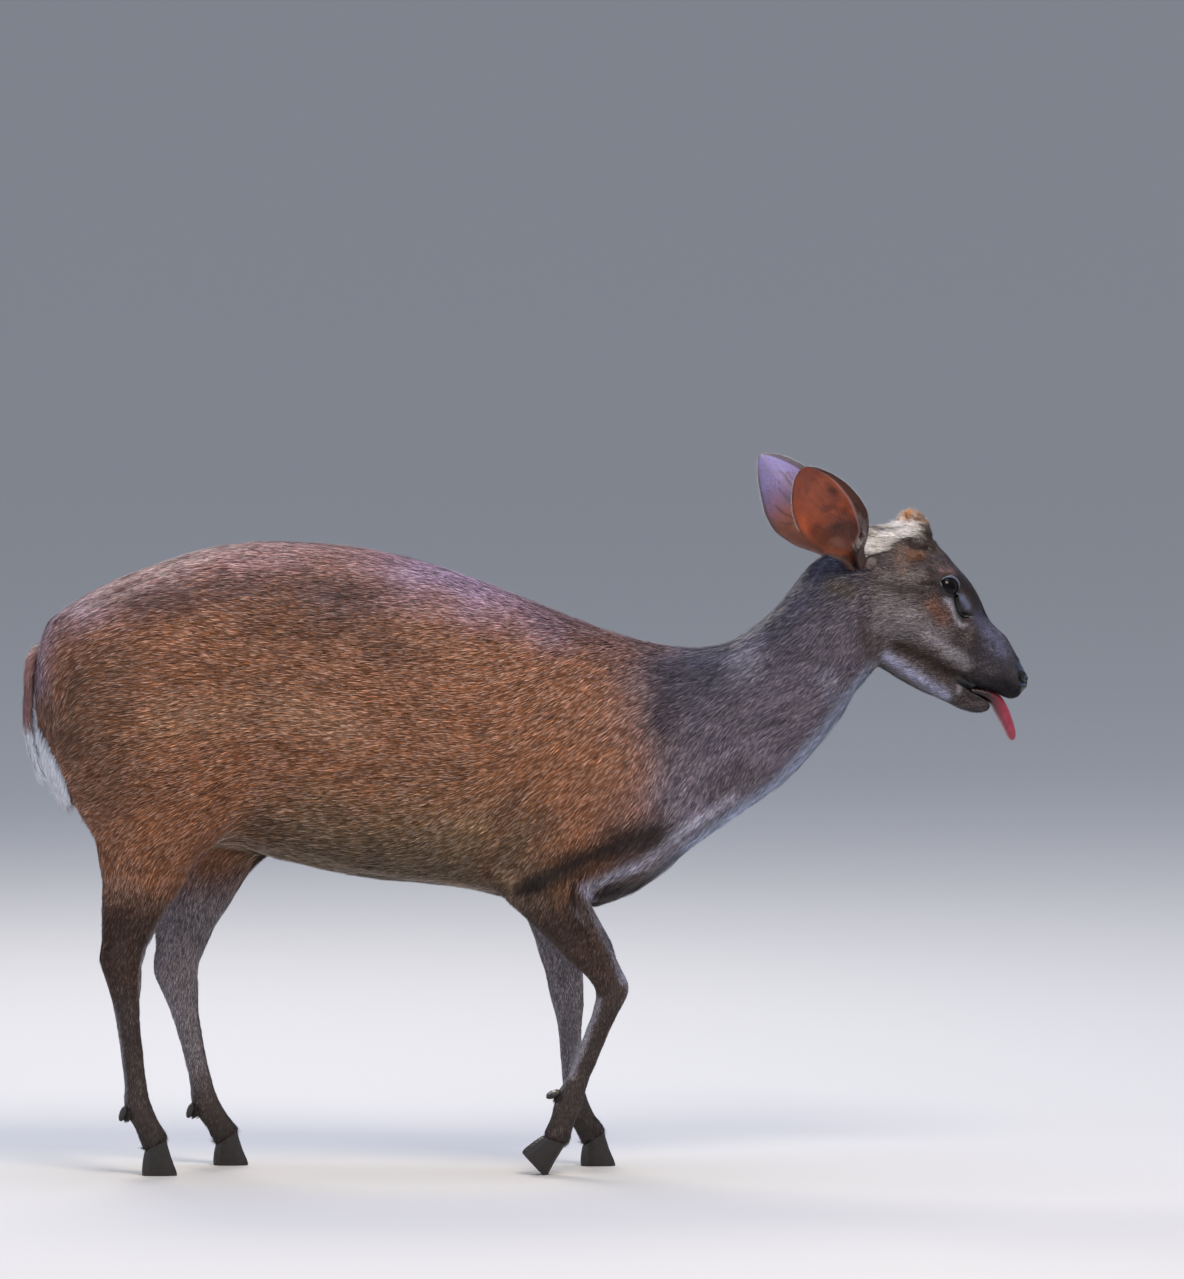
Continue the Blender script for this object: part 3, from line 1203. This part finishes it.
def bend_along(surface, picked, way):
    """How fast the surface's normal turns along a way, per millimetre: its curve there."""
    co, normals, corners, _ = surface
    p, n = co[corners[picked]] * 1000, normals[corners[picked]]
    e1, e2 = p[:, 1] - p[:, 0], p[:, 2] - p[:, 0]
    g11, g12, g22 = (e1 * e1).sum(1), (e1 * e2).sum(1), (e2 * e2).sum(1)
    w1, w2 = (e1 * way).sum(1), (e2 * way).sum(1)
    det = np.maximum(g11 * g22 - g12 * g12, 1e-9)
    s1, s2 = (g22 * w1 - g12 * w2) / det, (g11 * w2 - g12 * w1) / det
    turn = ((n[:, 1] - n[:, 0]) * s1[:, None] + (n[:, 2] - n[:, 0]) * s2[:, None]) * way
    return np.clip(turn.sum(1), -0.03, 0.05)


# Grown hair: each blade has its own pigment, a soft gloss and a trace of pale sheen.
HAIR_GLOSS = {
    "Roughness": 0.48,
    "Specular IOR Level": 0.28,
    "Sheen Weight": 0.04,
    "Sheen Tint": opaque("#f1dfe6"),
}
fur, tree, shader = finish_of("short_stiff_deer_hair", HAIR_GLOSS)
coloured(tree, shader, "coat_colour")

LEG_AXES = {
    "hind": [(134, 52, 362), (98, 53, 215), (115, 54, 70), (133, 54, 31)],
    "fore": [(505, 50, 316), (590, 52, 187), (546, 49, 75), (532, 48, 34)],
}
skin_surface = surface_of(skin.data)
middle_at = skin_surface[0][skin_surface[2]].mean(1)
seen_middle = side_view(straight(middle_at))
x, _, z = straight(middle_at).T
covered = 1 - bare[skin_surface[2]].max(1) > 0.5
is_head = x > HEAD_START
is_leg = (z < LEG_TOP) & (x < LEGS_END)
is_neck = (x > NECK_START) & ~is_head & ~is_leg
is_trunk = ~(is_head | is_leg | is_neck)
HEAD_AXIS = [(830, 0, 600), (1006, 0, 490)]
TRUNK_AXIS = [(0, 0, 480), (640, 0, 450)]
NECK_AXIS = [(610, 0, 430), (850, 0, 590)]
COATS = [
    ("coat_rump", is_trunk & (x < 130), 2, 84000, TRUNK_AXIS, "coat_red"),
    ("coat_loin", is_trunk & (x >= 130) & (x < 300), 2, 86000, TRUNK_AXIS, "coat_red"),
    ("coat_ribs", is_trunk & (x >= 300) & (x < 460), 2, 80000, TRUNK_AXIS, "coat_red"),
    ("coat_shoulders", is_trunk & (x >= 460), 2, 86000, TRUNK_AXIS, "coat_red"),
    ("coat_neck", is_neck, 2, 97000, NECK_AXIS, "coat_grey"),
    ("coat_cheeks", is_head & (x < 915), 1, 130000, HEAD_AXIS, "coat_grey"),
    ("coat_face", is_head & (x >= 915), 1, 118000, HEAD_AXIS, "coat_grey"),
    ("coat_hind_legs", is_leg & (x < 330), 1, 88000, "hind", "coat_red"),
    ("coat_fore_legs", is_leg & (x >= 330), 1, 84000, "fore", "coat_red"),
]
for number, (name, chosen, steps, count, axis, slot) in enumerate(COATS):
    chance = np.random.default_rng(100 + number)
    root, normal, picked = roots_on(skin_surface, chosen * covered, count, chance)
    p = straight(root)
    swing = 0.06 * noise(p, 18, 41) + chance.normal(0, 0.05, count)
    way = laid(carried(p, nearby(p, *zip(*FLOW)) * sided(p)), normal)
    way = unit(way + np.cross(normal, way) * swing[:, None])
    length, width = nearby(p, [r[0] for r in HAIR], [r[1:] for r in HAIR]).T
    coronet = ramp(-p[:, 2], -62, -44) * (p[:, 0] < LEGS_END)
    length = length * chance.uniform(0.75, 1.15, count) + 4.0 * coronet
    width = width * chance.uniform(0.75, 1.25, count)
    rise = coat_depth(p) + 1.2 * ramp(p[:, 2], 180, 300)
    depth = rise * (0.62 + 0.18 * noise(p, 8, 42) + chance.uniform(-0.25, 0.30, count))
    depth = np.maximum(depth, 0.09 * length)
    tone = markings(p, normal)
    lie = np.column_stack([p[:, 0] * 0.16, p[:, 1] * 0.9, p[:, 2] - 0.25 * p[:, 0]])
    streak = 1 + 0.34 * noise(lie, 2.4, 43) + 0.14 * noise(p, 22, 44)
    tone *= streak[:, None] * shades(chance, 0.32, count)
    ticked = (chance.random(count) < 0.34)[:, None]
    bright = np.clip(tone @ np.array([0.21, 0.72, 0.07]) / 0.085, 0, 1.3)[:, None] ** 1.5
    tip_tone = np.where(ticked, tone * 1.40 + 0.30 * bright * linear("#e6dbd2"), tone * 0.74)
    if isinstance(axis, str):
        u, v = unwrapped(p * sided(p), LEG_AXES[axis])
        v = 0.46 * v + np.where(p[:, 1] > 0, 0.52, 0.02)
    else:
        u, v = unwrapped(p, axis)
    bend = bend_along(skin_surface, picked, way)
    stand, size, tones = (root, normal, way), (length, width, depth), (tone, tip_tone)
    planted(name, steps, stand, bend, size, tones, patches((u, v)), fur)

# The longer hair of the head: cream on the crown, ginger curls over the two knobs of bone that
# a doe has for antlers, dark hair before them, lashes, and a few stiff black whiskers.
HEAD_LINES = {
    "crown_cream": [(842, 642), (843, 628), (854, 625), (863, 628), (874, 640), (894, 645)],
    "crown_ginger": [(872, 653), (881, 657)],
    "crown_tan": [(890, 652), (897, 655), (905, 650)],
    "crown_dark": [(903, 640), (908, 634), (912, 622)],
    "knob_dark": [(890, 631), (901, 629)],
    "knob_curls": [(887, 620), (898, 618)],
    "brow_tan": [(876, 624), (880, 606)],
    "ear_collar": [(820, 612), (829, 604)],
}
# Along each line seen from the side: its radius, the count, a hair's length, width and lift,
# the way it lies, its colours at root and tip, and how far it curls.
HEAD_HAIR = {
    "crown_cream": (8, 16000, (12, 0.34, 4.2), (-1, 0.1, 0.0), "#cec6be", "#fdf8f1", 0.12),
    "crown_ginger": (6.5, 5200, (8, 0.34, 4.2), (-0.6, 0.1, 0.5), "#84512c", "#e59a4b", 0.3),
    "crown_tan": (6.5, 4600, (9, 0.36, 3.4), (-0.6, 0.1, 0.5), "#94705a", "#f0d4bc", 0.2),
    "crown_dark": (5, 2600, (6.5, 0.34, 2.0), (-0.4, 0.1, 1), "#221713", "#4b3830", 0.15),
    "knob_dark": (5, 2600, (6, 0.34, 2.6), (-0.5, 0.3, -0.3), "#17100c", "#46342a", 0.5),
    "knob_curls": (6, 2400, (6, 0.34, 2.8), (-0.4, 0.3, -0.5), "#4c2e1d", "#a5744a", 0.9),
    "brow_tan": (8, 2000, (6, 0.32, 1.2), (-0.8, 0, -0.3), "#5d483c", "#95796a", 0.6),
    "ear_collar": (6, 3000, (10, 0.40, 3.5), (-0.6, 0.4, 0.7), "#4a3f3a", "#857a76", 0.2),
}
for number, (name, line) in enumerate(HEAD_LINES.items()):
    radius, count, (long, wide, lift), lie, low_hex, tip_hex, mess = HEAD_HAIR[name]
    chance = np.random.default_rng(300 + number)
    weight = stroke(seen_middle, line, radius) * covered * is_head
    weight[weight < 0.25 * weight.max()] = 0
    root, normal, picked = roots_on(skin_surface, weight, count, chance)
    p = straight(root)
    swirl = np.column_stack([noise(p, 9, 50 + k) for k in (1, 2, 3)]) * mess
    way = carried(p, (np.array(lie) + swirl) * sided(p) + chance.normal(0, 0.13, (count, 3)))
    tangent = way - normal * (way * normal).sum(1)[:, None]
    way = unit(tangent + normal * np.maximum((way * normal).sum(1), 0.05)[:, None] * 0.6)
    length = long * chance.uniform(0.6, 1.15, count)
    width = wide * chance.uniform(0.7, 1.2, count)
    height = lift * chance.uniform(0.5, 1.1, count)
    shade = shades(chance, 0.25, count)
    own = np.clip(1.3 * mess * chance.random(count), 0, 0.8)[:, None]
    around = markings(p, normal) * 1.1 * own
    tones = [(linear(tint) * (1 - own) + around) * shade for tint in (low_hex, tip_hex)]
    bend, size = bend_along(skin_surface, picked, way), (length, width, height)
    uv = patches(unwrapped(p, HEAD_AXIS))
    planted(name, 4, (root, normal, way), bend, size, tones, uv, fur)

# The lashes and whiskers. Single stiff black bristles rooted in the upper lids and the lips,
# with a sharper gloss than the coat.
BRISTLE_BLACK = "#0e0b0a"
BRISTLE_GLOSS = {"Base Color": opaque(BRISTLE_BLACK), "Roughness": 0.35}
bristle, tree, shader = finish_of("stiff_black_bristle", BRISTLE_GLOSS)
LASHES, WHISKERS = 30, 26
roots, ways, outs, longs = [], [], [], []
chance = np.random.default_rng(71)
for side in (-1, 1):
    axes = middle, aim, along, across = eye_axes(side)
    for k in range(LASHES):
        u, v = almond(math.radians(25 + 135 * k / (LASHES - 1)))
        flat = np.array([u, v]) * 1.06
        out = on_ball(axes, flat, np.linalg.norm(flat) / EYE_RADIUS)
        roots.append(middle + out * (EYE_RADIUS + 1.6))
        lean = along * (u / LID_HALF_LONG) * 0.5
        ways.append(out * 0.8 + across * 0.5 + lean + chance.normal(0, 0.08, 3))
        outs.append(across)
        longs.append(4.2 + 1.5 * chance.random())
    for _ in range(WHISKERS):
        at_place = np.array([chance.uniform(962, 1000), 0, 0])
        at_place[2] = 497 - 0.32 * (at_place[0] - 980) + chance.uniform(-7, 7)
        at_place[1] = side * (17.2 - 0.10 * (at_place[0] - 962))
        roots.append(at_place)
        back, down = -0.45 + 0.3 * chance.random(), -0.35 + 0.4 * chance.random()
        ways.append(np.array([back, side, down]))
        outs.append(np.array([0, 0, 1]))
        longs.append(chance.uniform(7, 15))
roots, ways, outs, longs = (np.array(v, float) for v in (roots, ways, outs, longs))
count = len(roots)
stand = placed(roots), carried(roots, outs), carried(roots, ways)
size = longs, np.full(count, 0.28), longs * 0.18
tones = [np.tile(linear(BRISTLE_BLACK), (count, 1))] * 2
uv = patches(unwrapped(roots, HEAD_AXIS), 0)
planted("lashes_and_whiskers", 4, stand, np.zeros(count), size, tones, uv, bristle)

# The hair of the ears: a short grey brown nap outside, thin pale hair inside, a white fringe
# along the rims, and long white hair across the opening near its root.
for label, (leaf_mesh, ear_way, shares, turns, inside) in ears_made.items():
    side = SIDES[label]
    surface = surface_of(leaf_mesh)
    corners = surface[2]
    share, turn, within = (v[corners].mean(1) for v in (shares, turns * -side, inside))
    edge = np.abs(turn)
    by_root = (within > 0.5) & (turn > 0.62) & (share > 0.08) & (share < 0.30)
    kinds = [
        ("nap", (within < 0.5) & (edge < 0.97), 15000, 3.4, 0.36, 0.9, "#5d4c44", "#8d7c70", 1),
        ("lining", (within > 0.5) & (share > 0.14), 1800, 4.0, 0.18, 1.0, "#a7856c", "#cdb59e", 1),
        ("rim", (edge > 0.965) & (share > 0.45), 1500, 2.6, 0.22, 0.8, "#b3a9a6", "#f1edea", 1),
        ("wisps", by_root, 260, 15, 0.3, 5, "#a99e96", "#efebe6", 4),
    ]
    for number, row in enumerate(kinds):
        kind, chosen, count, long, wide, lift, low_hex, tip_hex, steps = row
        chance = np.random.default_rng(400 + number * 2 + (side > 0))
        root, normal, picked = roots_on(surface, chosen * 1.0, count, chance)
        p = straight(root)
        way = np.tile(ear_way, (count, 1)) + chance.normal(0, 0.16, (count, 3))
        if kind == "wisps":
            way = way + np.array([-0.9, side * 0.5, 0.0])
        way = laid(carried(p, way), normal)
        if kind == "rim":
            sideways = np.cross(normal, way) * np.sign(turn[picked])[:, None] * side
            way = unit(way + 0.7 * sideways)
        shade = shades(chance, 0.16, count)
        tones = linear(low_hex) * shade, linear(tip_hex) * shade
        length = long * chance.uniform(0.6, 1.15, count)
        width = wide * chance.uniform(0.7, 1.2, count)
        size = length, width, lift * chance.uniform(0.4, 1.1, count)
        round_at = 0.5 + 0.24 * turn[picked] + 0.24 * within[picked]
        uv = np.column_stack([0.02 + 0.96 * share[picked], round_at])
        stand, piece = (root, normal, way), f"ear_{kind}_{label}"
        planted(piece, steps, stand, np.zeros(count), size, tones, uv, fur)

# The tail. A thin bony core hangs behind the rump, rust haired outside and pure white inside,
# and its long hair spreads sideways into a flat fringe that covers the seat. Each row of the
# core: rear, inner side, half the width.
TAIL = [
    ((31, 533), (39, 523), 7.0),
    ((15, 525), (26, 514), 8.5),
    ((5, 506), (19, 500), 9.5),
    ((2, 481), (16, 479), 10.0),
    ((1, 453), (14, 455), 9.0),
    ((4, 430), (16, 434), 7.5),
    ((12, 408), (22, 412), 4.0),
]
rings = []
for x1, z1, x2, z2, half in smooth_rows([(*rear, *inner, wide) for rear, inner, wide in TAIL], 8):
    turn = np.linspace(0, 2 * math.pi, 28, endpoint=False)
    reach = np.sin(turn) * 0.5 + 0.5
    ring = [x2 + reach * (x1 - x2), np.cos(turn) * half, z2 + reach * (z1 - z2)]
    rings.append(np.column_stack(ring))
tail = piece_of("tail_core", *tube(rings), hide)
n = normals_of(tail.data)
tone = painted(np.tile(linear("#8d8580"), (len(n), 1)), ramp(-n[:, 0], 0, 0.5), "#6b4430")
stored(tail.data, "coat_colour", tone)
stored(tail.data, "bare_skin", np.zeros((len(n), 3)))
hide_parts("tail")
line = np.array([((a[0] + b[0]) / 2, 0, (a[1] + b[1]) / 2) for a, b, _ in TAIL])


def at_row(row):
    """Places on the tail's middle line, by how many rows down it they are."""
    return np.column_stack([np.interp(row, np.arange(len(line)), line[:, k]) for k in range(3)])


surface = surface_of(tail.data)
backward = surface[1][surface[2]].mean(1)[:, 0]
TAIL_HAIR = (("tail_rust", True, 5200), ("tail_white", False, 10000))
for number, (name, outside, count) in enumerate(TAIL_HAIR):
    chance = np.random.default_rng(500 + number)
    weight = (backward < -0.25) if outside else (backward > -0.45)
    root, normal, picked = roots_on(surface, weight * 1.0, count, chance)
    p = straight(root)
    where = np.interp(-p[:, 2], -line[:, 2], np.arange(len(line)))
    down = unit(at_row(where + 0.6) - at_row(where - 0.4))
    sideways = np.sign(p[:, 1]) * ramp(np.abs(p[:, 1]), 1, 7) * (0.30 if outside else 0.50)
    forward = np.full(count, 0.0 if outside else 0.85)
    spread = np.column_stack([forward, sideways, np.zeros(count)])
    way = carried(p, unit(down + spread + chance.normal(0, 0.09, (count, 3))))
    way = unit(laid(way, normal) * 0.6 + way * 0.4)
    tip_near = ramp(-p[:, 2], -450, -405)
    length = (20 + 6 * tip_near + (0 if outside else 9)) * chance.uniform(0.6, 1.1, count)
    shade = shades(chance, 0.12, count)
    white_span = (-468, -450) if outside else (-492, -470)
    white = ramp(-p[:, 2] + 8 * noise(p, 12, 61), *white_span)[:, None]
    tone = (linear("#7d4b3b") * (1 - white) + linear("#dadbe3") * white) * shade
    tip_tone = (linear("#b08a86") * (1 - white) + linear("#fdfdff") * white) * shade
    width = np.full(count, 0.85) * chance.uniform(0.7, 1.2, count)
    size = length, width, (3.0 + 3.0 * tip_near) * chance.uniform(0.2, 1.0, count)
    bend, uv = bend_along(surface, picked, way) * 0.4, patches(unwrapped(p, line), 0.02)
    stand = root, normal, way
    planted(name, 4, stand, bend, size, (tone, tip_tone), uv, fur)

# The white of the seat: long soft white hair of the rump that starts beside the tail and hangs
# down over the inside of the thighs.
chance = np.random.default_rng(520)
weight = stroke(seen_middle, [(18, 448), (26, 420), (40, 386)], 9) * is_trunk
weight[weight < 0.25] = 0
count = 7000
root, normal, picked = roots_on(skin_surface, weight, count, chance)
p = straight(root)
way = carried(p, np.array([-0.50, 0, -1.0]) + chance.normal(0, 0.12, (count, 3)))
way = laid(way, normal, 0.7)
shade = shades(chance, 0.12, count)
length, width = 20 * chance.uniform(0.6, 1.1, count), 0.8 * chance.uniform(0.7, 1.2, count)
size = length, width, 4.0 * chance.uniform(0.3, 1.0, count)
tones = linear("#d5d6de") * shade, linear("#fcfdff") * shade
bend, uv = bend_along(skin_surface, picked, way), patches(unwrapped(p, TRUNK_AXIS))
planted("seat_white", 4, (root, normal, way), bend, size, tones, uv, fur)

# The tufts over the dewclaws: short dark hair that starts above each little claw at the back
# of the fetlock, lies down over its root and hides how it joins the leg.
for number, name in enumerate(sorted(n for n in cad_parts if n.startswith("dewclaw_"))):
    chance = np.random.default_rng(600 + number)
    low, high = (np.array(v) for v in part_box(name))
    claw = (low + high) / 2
    off = middle_at - claw
    near = np.linalg.norm(off, axis=1)
    weight = ramp(-near, -0.013, -0.006) * (off[:, 2] > -0.004)
    count = 420
    root, normal, picked = roots_on(skin_surface, weight, count, chance)
    p = straight(root)
    aim = claw + np.array([0, 0, -0.006]) - root
    way = unit(unit(aim) + np.array([0, 0, -0.5]) + chance.normal(0, 0.16, (count, 3)))
    shade = shades(chance, 0.2, count)
    length, width = 7.5 * chance.uniform(0.6, 1.1, count), 0.5 * chance.uniform(0.7, 1.2, count)
    size = length, width, 1.5 * chance.uniform(0.2, 1.0, count)
    tones = linear(FETLOCK) * shade, linear(SHANK) * shade
    uv = patches(unwrapped(p, LEG_AXES["hind" if p[0, 0] < 330 else "fore"]))
    stand, piece = (root, normal, way), f"tuft_{name}"
    planted(piece, 4, stand, np.zeros(count), size, tones, uv, fur)

# The stage: a wide pale floor that meets a pale sky, a large soft key light high on the
# right as in the photo, a weaker fill from the tail side, and a far long lens like the photo's.
floor = in_scene("floor", bpy.data.meshes.new("floor"))
floor.data.from_pydata([(-40, -40, 0), (40, -40, 0), (40, 40, 0), (-40, 40, 0)], [], [(0, 1, 2, 3)])
PAPER = {"Base Color": opaque("#bfbdb9"), "Roughness": 0.9}
paper, tree, shader = finish_of("matt_studio_paper", PAPER)
floor.data.materials.append(paper)

world = bpy.data.worlds.new("soft_studio")
world.use_nodes = True
background = world.node_tree.nodes["Background"]
background.inputs["Color"].default_value = opaque("#d2dbef")
background.inputs["Strength"].default_value = 0.58
bpy.context.scene.world = world


def lamp(name, place, aim, size, power, hex_colour):
    """A round soft light at a place, turned to what it lights."""
    light = bpy.data.lights.new(name, "AREA")
    light.shape, light.size = "DISK", size
    light.energy, light.color = power, linear(hex_colour)
    holder = in_scene(name, light)
    holder.location = place
    holder.rotation_euler = (Vector(aim) - Vector(place)).to_track_quat("-Z", "Y").to_euler()


lamp("key", (0.9, -2.2, 3.2), (0.05, 0, 0.45), 1.6, 108, "#fff1e0")
lamp("sky", (0.1, 0.5, 4.2), (0.05, 0, 0.5), 3.6, 122, "#c9d8ff")
lamp("fill", (-2.6, -1.8, 1.4), (0, 0, 0.4), 2.0, 16, "#e9efff")
lamp("rim", (-0.8, 2.4, 2.6), (0.1, 0, 0.5), 1.4, 60, "#fff8ee")

# The camera: the photo's height in metres at the animal, from 18 m off and 4 degrees up.
PHOTO_SPAN = 1.279
CAMERA_FAR = 18.0
CAMERA_UP = math.radians(4.0)
looked_at = Vector((0.0667, 0, 0.5325))
camera = bpy.data.cameras.new("photo_view")
camera.sensor_fit, camera.sensor_width, camera.sensor_height = "AUTO", 36, 36
camera.lens = 36 * CAMERA_FAR / PHOTO_SPAN
camera.clip_end = 100
viewer = in_scene("photo_view", camera)
viewer.location = looked_at + CAMERA_FAR * Vector((0, -math.cos(CAMERA_UP), math.sin(CAMERA_UP)))
viewer.rotation_euler = (looked_at - viewer.location).to_track_quat("-Z", "Y").to_euler()
bpy.context.scene.camera = viewer
bpy.context.scene.view_settings.view_transform = "Standard"
